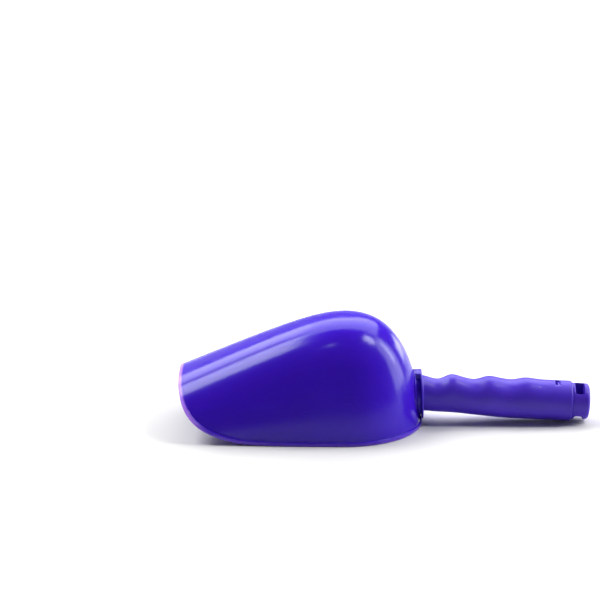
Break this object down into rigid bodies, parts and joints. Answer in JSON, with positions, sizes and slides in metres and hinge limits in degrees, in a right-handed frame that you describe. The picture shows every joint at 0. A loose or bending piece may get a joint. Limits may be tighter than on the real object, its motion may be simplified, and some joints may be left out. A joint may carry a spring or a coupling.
{
  "type": "feed scoop",
  "caption": "Moulded plastic feed scoop: deep trough bowl with a round back, flanged collar, finger-grooved hollow grip and a snap-in end plug with a hanging slot.",
  "frame": {"origin": "on the plane of the rim, under the middle of the overall length and width; the scoop lies upside down on its rim, as it is put down", "axes": "+X along the length from the pouring lip to the hanging end of the handle, +Z from the rim towards the bowl's closed side"},
  "size_m": [0.249, 0.094, 0.0673],
  "materials": {
    "bowl_plastic": "smooth moulded polypropylene, glossy, slightly translucent",
    "grip_plastic": "moulded polypropylene, satin",
    "plug_plastic": "moulded polypropylene, satin",
    "screw_steel": "zinc plated"
  },
  "bodies": {
    "scoop": {"bowl": "bowl_plastic", "grip": "grip_plastic", "fixing_screw": "screw_steel", "screw_washer": "screw_steel"},
    "plug": {"end_plug": "plug_plastic", "latch_tongue": "plug_plastic"}
  },
  "joints": [
    {"name": "plug_pull", "type": "slide", "parent": "scoop", "child": "plug", "axis": [0.9988, 0, -0.0489], "range_m": [0, 0.02], "deforming": ["latch_tongue"]}
  ]
}
